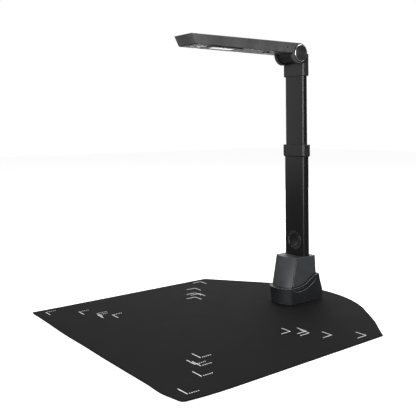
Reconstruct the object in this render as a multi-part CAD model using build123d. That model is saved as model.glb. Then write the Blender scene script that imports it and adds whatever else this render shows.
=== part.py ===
from build123d import *
import os

# Book scanner: a flat work mat, a weighted base, a two-part sliding column and a folding scan arm.
# Millimetres, +Z up. The origin is under the middle of the mat, on the surface that it lies on.
# The arm points along -Y and folds about an axis along X. X = 0 is the plane of symmetry.

# ---- general clearances and stock ----
seat_gap = 0.15             # between plastic pieces that seat in each other
slide_gap = 0.15            # between the mast and what guides it
screw_gap = 0.05            # around a screw's shank and head
key_gap = 0.3               # around a key in its hole
turn_gap = 0.5              # between the hinge's round faces
pin_gap = 0.05              # running fit of the hinge pins
board_thickness = 1.2       # printed circuit boards
lead_radius = 1.75          # the internal signal lead
lead_clear = 1.0            # around the lead where it enters the column
lead_hole_gap = 0.2         # around the lead in the mast's shoe

# ---- work mat ----
mat_width = 450.0
mat_depth = 500.0
mat_side = 375.0            # length of the straight sides, before the back edge
mat_knee = (0.515, 0.68)    # end of each slanted part of the back edge: shares of the half width and rise
mat_thickness = 2.0
ink_height = 0.1
mark_width = 1.3
mark_arm = 20.0             # length of each arm of a corner mark
mark_dots = 5               # dots in a dotted arm
field_size = (420.0, 336.0)
field_from_front = 17.5     # from the mat's front edge to the field's front edge
paper_sizes = ((353.0, 250.0), (297.0, 210.0), (279.4, 215.9), (250.0, 176.0))
paper_centre_from_front = 189.0

# ---- column: its middle line, and the two flat tubes ----
column_from_front = 421.0   # from the mat's front edge to the column's middle
column_width = 49.0
column_depth = 15.4
column_wall = 0.9
column_corner = 3.4
column_foot_height = 17.0   # above the mat
column_top_height = 277.0
mast_width = 45.6
mast_depth = 12.4
mast_wall = 1.1
mast_corner = 3.0
collar_proud = 2.3
collar_height = 22.3
collar_skirt = 14.4         # part of the collar that is below the column's top
collar_lip = 2.0
collar_corner = 4.4
collar_chamfer = 2.0
collar_round = 0.6
sleeve_length = 30.0
shoe_flange = 4.0
shoe_spigot = 10.0

# ---- base: lower casing (skirt), upper casing (tower) ----
skirt_floor_gap = 0.5       # below the skirt's edge
skirt_lip_height = 28.6
skirt_half_bottom = 26.6
skirt_half_lip = 27.6
skirt_front_bottom = 41.5   # front corners, ahead of the column's middle
skirt_front_lip = 43.5
skirt_bow_bottom = 12.5
skirt_bow_lip = 14.0
skirt_corner = 2.4
skirt_wall = 2.0
skirt_back_bottom = 39.2
skirt_back_knee = (37.0, 17.8)      # behind the middle, above the mat
skirt_back_shoulder = (30.2, 37.8)
skirt_back_top = (26.0, 48.0)
swoosh_start = -39.0                # where the lip starts to rise
swoosh_low = (-11.0, 31.3)
swoosh_mid = (3.7, 38.3)
swoosh_high = (14.0, 44.6)
groove_drop = 3.0                   # groove's upper edge below the lip
groove_start = (-30.0, 20.6)
groove_mid = (0.5, 25.5)
groove_end = (19.5, 36.6)
groove_floor_half = 26.2
tower_height = 81.0
tower_half_top = 26.0
tower_half_low = 25.2
tower_front_top = 28.5
tower_front_low = 40.0
tower_bow_top = 5.5
tower_bow_low = 10.0
tower_back_top = 20.8
tower_back_low = 25.0
seam_radius = 1.0           # grooves down the tower's front corners
seam_inset = 0.55           # groove's middle inside the sharp corner, both ways
tower_corner = 2.2
tower_wall = 2.0
tower_roof = 3.0
tower_foot_height = 25.0
shelf_thickness = 2.0
plate_thickness = 3.0
plate_lift = 1.3            # bottom plate above the mat
plate_gap = 0.6             # between the plate's edge and the skirt
plate_screw_length = 10.0
foot_radius = 4.5
foot_recess = 0.5
foot_places = ((14.0, -39.0), (14.0, 31.0))
post_radius = 3.2
post_places = ((21.2, -27.0), (21.2, 20.0))
ballast_width = 34.0
ballast_front = 42.0
ballast_back = 8.0
ballast_screw_places = ((8.5, 0.0),)
main_board_width = 26.0
main_board_length = 23.5
main_board_lift = 4.0       # above the bottom plate
main_board_gap = 1.0        # behind it, to the skirt's inside
board_post_radius = 2.2
board_post_inset = 3.0      # posts from the board's side edges
board_post_places = (20.0, 6.0)     # ahead of the board's back edge
usb_width = 9.0
usb_height = 3.3
usb_length = 9.0
usb_shell = 0.3
usb_recess = 0.6            # socket's mouth ahead of the skirt's back face
usb_tongue_half = 0.35      # half the tongue's thickness
usb_floor = 1.0             # shell's blind end, and the tongue's end from the mouth
plug_height = 12.0
plug_cap = 3.0              # plug above the screws' ends
lead_hole_height = 35.0
lead_rise_back = 16.0       # base lead's upright part behind the column's middle
lead_bend = 5.4

# ---- capture key on the column's front ----
key_height = 109.0
bezel_outer = 16.4
bezel_inner = 13.4
bezel_lip = 1.0             # spigot's wall
bezel_proud = 0.7
bezel_spigot = 2.4
key_recess = 0.4            # key's face behind the bezel's face
key_flange = 0.8
key_flange_radius = 14.2
key_flange_gap = 0.1        # between a key's flange and what it rests against
key_travel = 0.8
key_edge_round = 0.5
key_dish_depth = 1.4
key_dish_rim = 2.0          # flat rim round the dish
bezel_round = 0.5
switch_dome_radius = 2.5
switch_dome_height = 0.6
switch_board_height = 16.0
switch_board_thickness = 0.8

# ---- coiled lead inside the column ----
coil_radius = 3.6
coil_behind = 2.3           # coil's middle behind the column's middle

# ---- neck and hinge ----
hinge_height = 451.2        # above the mat
hinge_forward = 13.6        # ahead of the column's middle
boss_radius = 18.5
boss_width = 6.6
barrel_radius = 15.5
barrel_bore = 12.0
barrel_bore_half = 8.0
barrel_side_gap = 0.2
neck_drop = 40.2            # neck's lower edge below the hinge
neck_half = 25.9
neck_depth = 16.2
neck_corner = 3.6
neck_wall = 2.4             # ahead of the lead's channel
neck_edge = 0.8             # chamfer of its lower edge
channel_gap = 2.5           # beside the lead in its channel
channel_depth = 3.0         # behind the lead's middle
neck_seat = 19.0            # length of mast inside the neck
neck_cover_half = 15.0
neck_cover_thickness = 1.6
neck_cover_bottom = 20.6    # cover's edges below the hinge
neck_cover_top = 4.0
neck_screw_half = 11.5      # cover's screws from the middle
neck_screw_drop = 12.3
neck_screw_length = 5.2
mast_lead_bend_drop = 9.0
mast_lead_points = ((2.0, 4.0), (-11.0, 6.0))      # behind and above the hinge axis
mast_lead_bends = (11.0, 14.0)
hinge_pin_radius = 3.0
washer_wall = 3.3
washer_bore_gap = 0.4       # between a washer's hole and the pin
washer_thickness = 1.2
washer_proud = 0.1          # beyond the barrel's ends
washer_gap = 0.2
cap_pocket_radius = 15.6
cap_pocket_depth = 1.5
ring_outer = 15.5
ring_width = 1.1
ring_proud = 2.6
ring_bevel = 0.7
cap_gap = 0.15              # between the ring and the cap inside it
cap_proud = 2.2
cap_round = 0.4
pin_start = 0.5             # pins' inner ends outside the barrel's bore

# ---- scan arm ----
arm_half = 24.8
arm_reach = 243.5           # hinge axis to the tip's upper edge
arm_undercut = 9.0          # tip's lower edge behind its upper edge
arm_tip_rise = 15.8         # tip's upper edge above the hinge axis
arm_under_drop = 0.6        # underside below the hinge axis
arm_wall = 2.0
arm_tip_round = 3.0
arm_edge_round = 1.0
hood_rise = 6.0             # hood's rear edge above the hinge axis, so that the arm can tilt up
tip_room_low = 1.2          # extra wall behind the slanted tip, at its lower edge
tip_room_high = -1.4        # and at its upper edge
cover_front_gap = 0.2       # between the cover's front edge and the shell
cover_thickness = 1.8
cover_rear = 20.0           # cover's rear edge ahead of the hinge axis
arm_post_radius = 2.6
arm_post_half = 19.2        # posts from the middle
arm_post_reaches = (44.0, 112.0, 226.0)
arm_post_hole = 7.0
arm_screw_length = 8.0
cover_screw_room = 10.0
lens_reach = 213.0
lens_ring_outer = 14.6
lens_ring_proud = 0.4
lens_ring_round = 0.3
lens_hole = 12.5
lens_barrel_radius = 8.2
lens_glass_radius = 7.2
lens_glass_bulge = 1.2
lens_barrel_rise = 0.6      # barrel's mouth above the hinge axis
lens_sleeve_top = 1.0       # ring's sleeve above the cover
camera_body = 24.0
camera_body_height = 6.0
camera_board_size = 32.0
camera_lift = 5.5           # camera body above the hinge axis
camera_board_lead = 2.0     # board ahead of the camera body
led_centre_reach = 163.5
led_window = (48.0, 18.0)
led_frame_wall = 2.0
led_frame_flange = 7.0
led_frame_proud = 1.0
led_board_lift = 4.0
led_count = 8               # chips in a row
led_row_half = 6.0          # two rows, beside the lamp's middle
led_chip = (3.5, 2.8, 0.8)
light_key_reach = 62.0
light_key_radius = 6.0
light_key_flange_radius = 7.2
light_key_flange = 0.8
light_key_proud = 1.5
light_key_travel = 0.5
light_board_size = 21.0
light_dome_height = 0.35
light_dome_radius = 2.0
light_key_round = 0.39
light_post_radius = 1.4
microphone_reach = 33.0
microphone_rise = 8.0
microphone_hole = 1.1
microphone_radius = 2.2
microphone_length = 2.0
lead_rise_rear = 7.5
lead_slot_half = 3.2
lead_slot_height = 12.0
lead_end_reach = 17.2

# ---- screws ----
screw_radius = 1.3
screw_head_radius = 2.6
screw_head_height = 1.4
small_screw_radius = 0.9
small_head_radius = 1.9
small_head_height = 0.9
small_screw = (small_screw_radius, small_head_radius, small_head_height)

# ---- places worked out from the sizes ----
mat_front = -mat_depth / 2
column_y = mat_front + column_from_front
hinge_y = column_y - hinge_forward
hinge_z = mat_thickness + hinge_height
plate_z = mat_thickness + plate_lift
plate_top = plate_z + plate_thickness
skirt_z = mat_thickness + skirt_floor_gap
lip_z = mat_thickness + skirt_lip_height
tower_foot_z = mat_thickness + tower_foot_height
tower_top_z = mat_thickness + tower_height
column_foot_z = mat_thickness + column_foot_height
column_top_z = mat_thickness + column_top_height
collar_z = column_top_z - collar_skirt
collar_top_z = collar_z + collar_height
neck_z = hinge_z - neck_drop
mast_top_z = neck_z + neck_seat
shoe_top_z = column_top_z - sleeve_length - slide_gap * 3
shoe_z = shoe_top_z - shoe_flange
column_front = column_y - column_depth / 2
key_z = mat_thickness + key_height
coil_y = column_y + coil_behind
lead_hole_z = mat_thickness + lead_hole_height
barrel_half = arm_half - boss_width - barrel_side_gap
washer_bore = hinge_pin_radius + washer_bore_gap
under_z = hinge_z - arm_under_drop
cover_top_z = under_z + cover_thickness
board_z = plate_top + main_board_lift
board_back = column_y + skirt_back_knee[0] - skirt_wall - main_board_gap
press_back = column_front + bezel_spigot + key_flange_gap
lens_y = hinge_y - lens_reach
led_y = hinge_y - led_centre_reach
light_key_y = hinge_y - light_key_reach
light_flange_z = cover_top_z + key_flange_gap
light_dome_z = light_flange_z + light_key_flange + light_key_travel + screw_gap
light_board_z = light_dome_z + light_dome_height
neck_back = column_y + neck_depth / 2
cheek_half = arm_half - boss_width
everywhere = (mat_front, -mat_front)     # long enough to cut right through along X or Y
full_height = (0, 2 * hinge_z)          # and along Z


# ---- small helpers: each makes one plain shape in its final place ----

def block(x, y, z):
    """A box from its lowest to its highest corner in each direction."""
    size = [side[1] - side[0] for side in (x, y, z)]
    middle = [(side[0] + side[1]) / 2 for side in (x, y, z)]
    return Pos(*middle) * Box(*size)


def upright(radius, x, y, z0, z1):
    """A cylinder that stands along Z."""
    return Pos(x, y, (z0 + z1) / 2) * Cylinder(radius, z1 - z0)


def along_x(radius, x0, x1, y, z):
    """A cylinder that lies along X."""
    return Pos((x0 + x1) / 2, y, z) * Rot(0, 90, 0) * Cylinder(radius, x1 - x0)


def along_y(radius, y0, y1, x, z):
    """A cylinder that lies along Y."""
    return Pos(x, (y0 + y1) / 2, z) * Rot(90, 0, 0) * Cylinder(radius, y1 - y0)


def flat_bar(width, depth, corner, z0, z1):
    """An upright bar of rounded rectangular section, on the column's middle line."""
    return Pos(0, column_y, z0) * extrude(RectangleRounded(width, depth, corner), z1 - z0)


def side_slab(points, half):
    """A straight-sided outline in the side view, given a thickness across X."""
    return extrude(Plane.YZ * make_face(Polyline(*points, close=True)), half, both=True)


def both_sides(shape):
    """The shape and its mirror image in X = 0."""
    return Compound(children=[shape, mirror(shape, Plane.YZ)])


def bowed_outline(z, half, front, back, bow, corner):
    """Plan outline with flat sides and back and a front that bows forward, corners rounded."""
    left = (-half, column_y - front)
    right = (half, column_y - front)
    nose = (0, column_y - front - bow)
    sides = Polyline(right, (half, column_y + back), (-half, column_y + back), left)
    face = make_face(sides + ThreePointArc(left, nose, right))
    return Plane.XY.offset(z) * fillet(face.vertices(), corner)


def screw(x, y, z, length, radius=screw_radius, head=screw_head_radius, head_height=screw_head_height):
    """A pan-head screw that points up, its head's lower face at z."""
    return upright(head, x, y, z, z + head_height) + upright(radius, x, y, z + head_height, z + length)


def screw_hole(x, y, z, length, radius=screw_radius, head=screw_head_radius, head_height=screw_head_height):
    """The counterbored hole that such a screw fills."""
    bore = upright(radius + screw_gap, x, y, z - 1, z + length + screw_gap)
    return bore + upright(head + screw_gap, x, y, z - 1, z + head_height)


def paired(places):
    """Each place, given beside and behind the column's middle, and its mirror image."""
    return [(side * x, column_y + y) for x, y in places for side in (-1, 1)]


def save(node, shape):
    """Write one sub-part."""
    shape.label = node
    export_step(shape, f"parts/{node}.step")


# ---- work mat ----

def work_mat():
    """Flat sheet: straight front and sides, slanted back corners and a round back edge between them."""
    half = mat_width / 2
    side_y = mat_front + mat_side
    knee = (half * mat_knee[0], side_y + (mat_depth - mat_side) * mat_knee[1])
    far_knee = (-knee[0], knee[1])
    front = Polyline(knee, (half, side_y), (half, mat_front), (-half, mat_front), (-half, side_y), far_knee)
    back = ThreePointArc(far_knee, (0, mat_front + mat_depth), knee)
    return extrude(make_face(front + back), mat_thickness)


def corner_mark(x, y, inward_x, inward_y, dotted):
    """Printed corner of one paper size: one arm solid, the other solid or a row of dots."""
    low = mat_thickness
    high = mat_thickness + ink_height
    x_end = x + inward_x * mark_arm
    y_end = y + inward_y * mark_arm
    y_other = y + inward_y * mark_width
    solid_arm = block(sorted((x, x_end)), sorted((y, y_other)), (low, high))
    if not dotted:
        arm_start = y + inward_y * mark_width
        x_other = x + inward_x * mark_width
        upright_arm = block(sorted((x, x_other)), sorted((arm_start, y_end)), (low, high))
        return [solid_arm + upright_arm]
    step = mark_arm / (mark_dots + 1)
    pieces = [solid_arm]
    for index in range(1, mark_dots + 1):
        dot_y = y + inward_y * (mark_width + step * index)
        pieces.append(upright(mark_width / 2, x + inward_x * mark_width / 2, dot_y, low, high))
    return pieces


def mat_print():
    """Corner marks of the whole field and of four paper sizes."""
    frames = [(field_size, mat_front + field_from_front + field_size[1] / 2)]
    frames += [(size, mat_front + paper_centre_from_front) for size in paper_sizes]
    pieces = []
    for (width, depth), centre in frames:
        for side in (-1, 1):
            pieces += corner_mark(side * width / 2, centre - depth / 2, -side, 1, True)
            pieces += corner_mark(side * width / 2, centre + depth / 2, -side, -1, False)
    return Compound(children=pieces)


# ---- base ----

def tower_outline(z, inset):
    """Plan outline of the tower at height z, moved inwards by inset."""
    share = (z - lip_z) / (tower_top_z - lip_z)
    half = tower_half_low + share * (tower_half_top - tower_half_low)
    front = tower_front_low + share * (tower_front_top - tower_front_low)
    back = tower_back_low + share * (tower_back_top - tower_back_low)
    bow = tower_bow_low + share * (tower_bow_top - tower_bow_low)
    corner = tower_corner - inset / 2
    return bowed_outline(z, half - inset, front - inset, back - inset, bow, corner)


def tower_block(z0, z1, inset=0.0):
    """Solid of the tower's outline between two heights."""
    return loft([tower_outline(z0, inset), tower_outline(z1, inset)])


def skirt_outline(z, inset):
    """Plan outline of the skirt at height z; its back edge is cut to shape by the side view."""
    share = (z - skirt_z) / (lip_z - skirt_z)
    half = skirt_half_bottom + share * (skirt_half_lip - skirt_half_bottom)
    front = skirt_front_bottom + share * (skirt_front_lip - skirt_front_bottom)
    bow = skirt_bow_bottom + share * (skirt_bow_lip - skirt_bow_bottom)
    back = skirt_back_bottom - inset
    return bowed_outline(z, half - inset, front - inset, back, bow, skirt_corner - inset / 2)


def lip_points():
    """The skirt's upper edge in the side view, from the front corner to the back."""
    offsets = ((swoosh_start, skirt_lip_height), swoosh_low, swoosh_mid, swoosh_high, skirt_back_top)
    return [(column_y + y, mat_thickness + z) for y, z in offsets]


def skirt_side(inset):
    """Side view of the skirt: level lip in front, rising to the back, and a rounded back edge."""
    lip = lip_points()
    ahead = column_y - skirt_front_lip - skirt_bow_lip - skirt_wall
    shoulder, knee = [(column_y + y, mat_thickness + z) for y, z in (skirt_back_shoulder, skirt_back_knee)]
    heel = (column_y + skirt_back_bottom, skirt_z)
    rise = Spline(*lip, tangents=((1, 0), (1, 0.35)))
    fall = Spline(lip[-1], shoulder, knee, heel, tangents=((0.7, -0.6), (0.1, -1)))
    front = Polyline(heel, (ahead, skirt_z), (ahead, lip[0][1]), lip[0])
    face = make_face(rise + fall + front)
    return Pos(0, -inset, 0) * extrude(Plane.YZ * face, skirt_half_lip * 2, both=True)


def swoosh_groove():
    """Shallow groove under the lip on both sides of the skirt."""
    lip = [(y, z - groove_drop) for y, z in lip_points()[:4]]
    lower = [(column_y + y, mat_thickness + z) for y, z in (groove_start, groove_mid, groove_end)]
    top = Spline(*lip, tangents=((1, 0), (1, 0.6)))
    bottom = Spline(*lower, tangents=((1, -0.1), (1, 0.75)))
    face = make_face(top + Line(lip[-1], lower[-1]) + bottom + Line(lower[0], lip[0]))
    far = extrude(Plane.YZ * face, skirt_half_lip * 2, both=True)
    deep = groove_floor_half
    return far - block((-deep, deep), everywhere, full_height)


def posts(z0, z1, radius):
    """One upright cylinder at each screw post of the base."""
    return [upright(radius, x, y, z0, z1) for x, y in paired(post_places)]


def base_skirt():
    """Lower casing, with a shelf that carries the tower and posts for the bottom plate's screws."""
    top_z = mat_thickness + skirt_back_top[1] + skirt_wall
    skin = loft([skirt_outline(skirt_z, 0), skirt_outline(top_z, 0)])
    outer = skin & skirt_side(0)
    shelf_z = tower_foot_z - shelf_thickness
    hollow = loft([skirt_outline(skirt_z, skirt_wall), skirt_outline(shelf_z, skirt_wall)])
    hollow = hollow & skirt_side(skirt_wall)
    hollow = hollow + block((-usb_width, usb_width), (column_y, column_y + tower_back_low), (skirt_z, shelf_z))
    shape = outer - tower_block(tower_foot_z, tower_top_z, -seat_gap / 3)
    shape = shape - tower_block(shelf_z - 1, tower_foot_z + 1, tower_wall + seat_gap)
    shape = shape - (hollow & block(everywhere, everywhere, (0, shelf_z)))
    shape = shape + posts(plate_top, shelf_z + shelf_thickness / 2, post_radius)
    shape = shape - posts(plate_z, plate_z + plate_screw_length, screw_radius + screw_gap)
    return shape - swoosh_groove() - usb_slot() - column_room()


def usb_slot():
    """Hole in the skirt's back for the socket."""
    half = usb_width / 2 + seat_gap
    z = board_z + board_thickness
    height = (z - seat_gap, z + usb_height + seat_gap)
    return block((-half, half), (column_y + tower_back_low, -mat_front), height)


def column_room():
    """Space of the column inside the base, with the seat's clearance."""
    gap = 2 * seat_gap
    return flat_bar(column_width + gap, column_depth + gap, column_corner + seat_gap, *full_height)


def base_tower():
    """Upper casing: a tapered hollow tower, open below, with a slot in its roof for the column."""
    shape = tower_block(tower_foot_z, tower_top_z)
    shape = shape - tower_block(tower_foot_z - 1, tower_top_z - tower_roof, tower_wall)
    return shape - column_room() - both_sides(tower_seam())


def tower_seam():
    """Rod along the tower's right front corner, which leaves a groove there."""
    low = Vector(tower_half_low - seam_inset, column_y - tower_front_low + seam_inset, lip_z)
    high = Vector(tower_half_top - seam_inset, column_y - tower_front_top + seam_inset, tower_top_z)
    rise = high - low
    start = low - rise
    return extrude(Plane(start, z_dir=rise) * Circle(seam_radius), (high + rise - start).length)


def bottom_plate():
    """Plate that closes the skirt from below, with recesses for the feet and posts for the board."""
    outline = skirt_outline(skirt_z, skirt_wall + plate_gap)
    shape = Pos(0, 0, plate_z - skirt_z) * extrude(outline, plate_thickness)
    for x, y in paired(foot_places):
        shape = shape - upright(foot_radius + screw_gap, x, y, 0, plate_z + foot_recess)
    for x, y in paired(post_places) + paired(ballast_screw_places):
        shape = shape - screw_hole(x, y, plate_z, plate_screw_length)
    post_x = main_board_width / 2 - board_post_inset
    for place in board_post_places:
        for side in (-1, 1):
            shape = shape + upright(board_post_radius, side * post_x, board_back - place, plate_top, board_z)
    return shape


def base_screws():
    """Four screws that hold the bottom plate to the skirt's posts."""
    return Compound(children=[screw(x, y, plate_z, plate_screw_length) for x, y in paired(post_places)])


def column_screws():
    """Two long screws from below, through plate and ballast, into the column's foot plug."""
    length = column_foot_z + plug_height - plug_cap - plate_z
    return Compound(children=[screw(x, y, plate_z, length) for x, y in paired(ballast_screw_places)])


def rubber_feet():
    """Four feet under the bottom plate, standing on the mat."""
    heights = (mat_thickness, plate_z + foot_recess)
    return Compound(children=[upright(foot_radius, x, y, *heights) for x, y in paired(foot_places)])


def ballast_block():
    """Steel block on the bottom plate; the column stands on it."""
    half = ballast_width / 2
    depth = (column_y - ballast_front, column_y + ballast_back)
    shape = block((-half, half), depth, (plate_top, column_foot_z))
    for x, y in paired(ballast_screw_places):
        shape = shape - upright(screw_radius + screw_gap, x, y, *full_height)
    return shape


def main_board():
    """Circuit board behind the column."""
    half = main_board_width / 2
    depth = (board_back - main_board_length, board_back)
    return block((-half, half), depth, (board_z, board_z + board_thickness))


def usb_socket():
    """Metal shell with a tongue inside, open to the back."""
    z = board_z + board_thickness
    skirt_back = column_y + skirt_back_knee[0]
    mouth = skirt_back - usb_recess
    back = mouth - usb_length
    half = usb_width / 2
    shell = block((-half, half), (back, mouth), (z, z + usb_height))
    inner = half - usb_shell
    room = (back + usb_floor, mouth + usb_floor)
    shell = shell - block((-inner, inner), room, (z + usb_shell, z + usb_height - usb_shell))
    middle = z + usb_height / 2
    tongue_half = inner - usb_floor
    thickness = (middle - usb_tongue_half, middle + usb_tongue_half)
    return shell + block((-tongue_half, tongue_half), (back, mouth - usb_floor), thickness)


# ---- column ----

def lower_column():
    """Flat tube; it stands on the ballast, with a hole for the key and one for the lead."""
    outer = flat_bar(column_width, column_depth, column_corner, column_foot_z, column_top_z)
    inner_width = column_width - 2 * column_wall
    inner_depth = column_depth - 2 * column_wall
    inner_corner = column_corner - column_wall
    shape = outer - flat_bar(inner_width, inner_depth, inner_corner, *full_height)
    front_wall = (column_front - column_wall, column_y)
    shape = shape - along_y(bezel_inner + bezel_lip, *front_wall, 0, key_z)
    back_wall = (column_y, column_y + column_depth)
    return shape - along_y(lead_radius + lead_clear, *back_wall, 0, lead_hole_z)


def foot_plug():
    """Solid plug in the column's lower end that the two long screws pull down."""
    gap = 2 * (column_wall + seat_gap)
    width = column_width - gap
    depth = column_depth - gap
    shape = flat_bar(width, depth, column_corner - column_wall, column_foot_z, column_foot_z + plug_height)
    hole_top = column_foot_z + plug_height - plug_cap + screw_gap
    for x, y in paired(ballast_screw_places):
        shape = shape - upright(screw_radius + screw_gap, x, y, 0, hole_top)
    return shape


def column_collar():
    """Moulded collar over the column's top, its lower edge chamfered, with a slot for the mast."""
    width = column_width + 2 * collar_proud
    depth = column_depth + 2 * collar_proud
    shape = flat_bar(width, depth, collar_corner, collar_z, collar_top_z)
    shape = chamfer(shape.faces().sort_by(Axis.Z)[0].edges(), collar_chamfer)
    shape = fillet(shape.faces().sort_by(Axis.Z)[-1].edges(), collar_round)
    shape = shape - flat_bar(column_width, column_depth, column_corner, 0, collar_top_z - collar_lip)
    gap = 4 * slide_gap
    return shape - flat_bar(mast_width + gap, mast_depth + gap, mast_corner + gap / 2, *full_height)


def friction_ring():
    """Ring inside the collar that grips the mast."""
    shape = flat_bar(column_width, column_depth, column_corner, column_top_z, collar_top_z - collar_lip)
    gap = 2 * slide_gap
    return shape - flat_bar(mast_width + gap, mast_depth + gap, mast_corner + slide_gap, *full_height)


def guide_sleeve():
    """Thin liner in the column's top end; it guides the mast and stops its shoe."""
    wall = 2 * column_wall
    shape = flat_bar(column_width - wall, column_depth - wall, column_corner - column_wall,
                     column_top_z - sleeve_length, column_top_z)
    gap = 2 * slide_gap
    return shape - flat_bar(mast_width + gap, mast_depth + gap, mast_corner + slide_gap, *full_height)


def key_bezel():
    """Ring round the capture key, with a spigot through the column's front wall."""
    ring = along_y(bezel_outer, column_front - bezel_proud, column_front, 0, key_z)
    ring = fillet(ring.edges().sort_by(Axis.Y)[0], bezel_round)
    spigot = (column_front, column_front + bezel_spigot)
    ring = ring + along_y(bezel_inner + bezel_lip - screw_gap, *spigot, 0, key_z)
    return ring - along_y(bezel_inner, *everywhere, 0, key_z)


def capture_key():
    """Round key with a dished face and a flange that keeps it behind the bezel."""
    face_y = column_front - bezel_proud + key_recess
    key = along_y(bezel_inner - key_gap, face_y, press_back, 0, key_z)
    key = fillet(key.edges().sort_by(Axis.Y)[0], key_edge_round)
    key = key + along_y(key_flange_radius, press_back, press_back + key_flange, 0, key_z)
    reach = bezel_inner - key_dish_rim
    ball = (reach ** 2 + key_dish_depth ** 2) / (2 * key_dish_depth)
    return key - Pos(0, face_y + key_dish_depth - ball, key_z) * Sphere(ball)


def key_switch():
    """Circuit board across the column with the switch that the capture key presses."""
    dome_y = press_back + key_flange + key_travel + screw_gap
    board_y = dome_y + switch_dome_height
    half = column_width / 2 - column_wall
    low = key_z - switch_board_height / 2
    plate = block((-half, half), (board_y, board_y + switch_board_thickness), (low, low + switch_board_height))
    return plate + along_y(switch_dome_radius, dome_y, board_y, 0, key_z)


def base_lead():
    """Lead from the board, up behind the column and in through its back."""
    rise_y = column_y + lead_rise_back
    start = (0, rise_y, board_z + board_thickness)
    corner = (0, rise_y, lead_hole_z)
    end = (0, coil_y, lead_hole_z)
    path = FilletPolyline(start, corner, end, radius=[lead_bend])
    return sweep(Plane(start, z_dir=(0, 0, 1)) * Circle(lead_radius), path)


def coiled_lead():
    """Outer shape of the coil between the lead's entry and the mast's shoe."""
    return upright(coil_radius, 0, coil_y, lead_hole_z + lead_radius, shoe_z)


# ---- mast and neck ----

def upper_mast():
    """Flat tube that slides in the column and carries the neck."""
    shape = flat_bar(mast_width, mast_depth, mast_corner, shoe_top_z, mast_top_z)
    wall = 2 * mast_wall
    return shape - flat_bar(mast_width - wall, mast_depth - wall, mast_corner - mast_wall, *full_height)


def mast_shoe():
    """Plug in the mast's lower end with a flange that glides in the column."""
    wall = 2 * column_wall + 2 * slide_gap
    flange = flat_bar(column_width - wall, column_depth - wall, column_corner - column_wall, shoe_z, shoe_top_z)
    inner = 2 * mast_wall + seat_gap
    spigot = flat_bar(mast_width - inner, mast_depth - inner, mast_corner - mast_wall,
                      shoe_top_z, shoe_top_z + shoe_spigot)
    return flange + spigot - upright(lead_radius + lead_hole_gap, 0, coil_y, *full_height)


def neck_housing():
    """Socket on the mast, shoulders that clear the arm's bosses, and the hinge barrel between them."""
    shape = flat_bar(2 * neck_half, neck_depth, neck_corner, neck_z, hinge_z)
    shape = chamfer(shape.faces().sort_by(Axis.Z)[0].edges(), neck_edge)
    for side in (-1, 1):
        saddle = sorted((side * barrel_half, side * 2 * neck_half))
        shape = shape - along_x(boss_radius + turn_gap, *saddle, hinge_y, hinge_z)
    barrel = along_x(barrel_radius, -barrel_half, barrel_half, hinge_y, hinge_z)
    shape = shape + barrel
    shape = shape - flat_bar(mast_width, mast_depth, mast_corner, 0, mast_top_z)
    shape = shape - along_x(barrel_bore, -barrel_bore_half, barrel_bore_half, hinge_y, hinge_z)
    shape = shape - lead_channel() - neck_cover_block(seat_gap, 1)
    for side in (-1, 1):
        bore = sorted((0, side * 2 * barrel_half))
        shape = shape - along_x(hinge_pin_radius + pin_gap, *bore, hinge_y, hinge_z)
        recess = sorted((side * (barrel_half + washer_proud - washer_thickness), side * 2 * barrel_half))
        shape = shape - along_x(washer_bore + washer_wall + washer_gap, *recess, hinge_y, hinge_z)
        hole_front = neck_back - neck_screw_length - screw_gap
        place = (side * neck_screw_half, hinge_z - neck_screw_drop)
        shape = shape - along_y(small_screw_radius + screw_gap, hole_front, neck_back, *place)
    return shape


def lead_channel():
    """The lead's way through the neck: up behind the front wall, and out of the barrel's front."""
    half = lead_radius + channel_gap
    depth = (neck_back - neck_depth + neck_wall, coil_y + channel_depth)
    shaft = block((-half, half), depth, (mast_top_z - neck_wall, hinge_z))
    roof = hinge_z - neck_cover_top - channel_depth
    window = block((-half, half), (coil_y, neck_back - neck_cover_thickness), (mast_top_z, roof))
    slot_y = (hinge_y - boss_radius, hinge_y)
    slot = block((-lead_slot_half, lead_slot_half), slot_y, (hinge_z, hinge_z + lead_slot_height))
    return shaft + window + slot


def neck_cover_block(gap=0.0, open_back=0.0):
    """Space of the rear cover, grown by gap at its edges and by open_back behind it."""
    half = neck_cover_half + gap
    heights = (hinge_z - neck_cover_bottom - gap, hinge_z - neck_cover_top + gap)
    return block((-half, half), (neck_back - neck_cover_thickness, neck_back + open_back), heights)


def neck_cover():
    """Rear cover over the lead's channel, held by two small screws."""
    shape = neck_cover_block()
    for side in (-1, 1):
        place = (side * neck_screw_half, hinge_z - neck_screw_drop)
        head = (neck_back - small_head_height, neck_back)
        shape = shape - along_y(small_head_radius + screw_gap, *head, *place)
        shape = shape - along_y(small_screw_radius + screw_gap, *everywhere, *place)
    return shape


def neck_screws():
    """Two small screws in the rear cover."""
    screws = []
    for side in (-1, 1):
        place = (side * neck_screw_half, hinge_z - neck_screw_drop)
        head = along_y(small_head_radius, neck_back - small_head_height, neck_back, *place)
        length = (neck_back - neck_screw_length, neck_back - small_head_height)
        shank = along_y(small_screw_radius, *length, *place)
        screws.append(head + shank)
    return Compound(children=screws)


def friction_washers():
    """Sprung washers between the barrel's ends and the arm's bosses."""
    face = barrel_half + washer_proud
    washer = along_x(washer_bore + washer_wall, face - washer_thickness, face, hinge_y, hinge_z)
    washer = washer - along_x(washer_bore, 0, arm_half, hinge_y, hinge_z)
    return both_sides(washer)


def mast_lead():
    """Lead from the coil, up inside the mast and forward through the barrel."""
    bottom = (0, coil_y, shoe_z)
    points = [(0, hinge_y + y, hinge_z + z) for y, z in mast_lead_points]
    bend = (0, coil_y, hinge_z - mast_lead_bend_drop)
    path = FilletPolyline(bottom, bend, *points, radius=mast_lead_bends)
    return sweep(Plane(bottom, z_dir=(0, 0, 1)) * Circle(lead_radius), path)


# ---- arm ----

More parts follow.
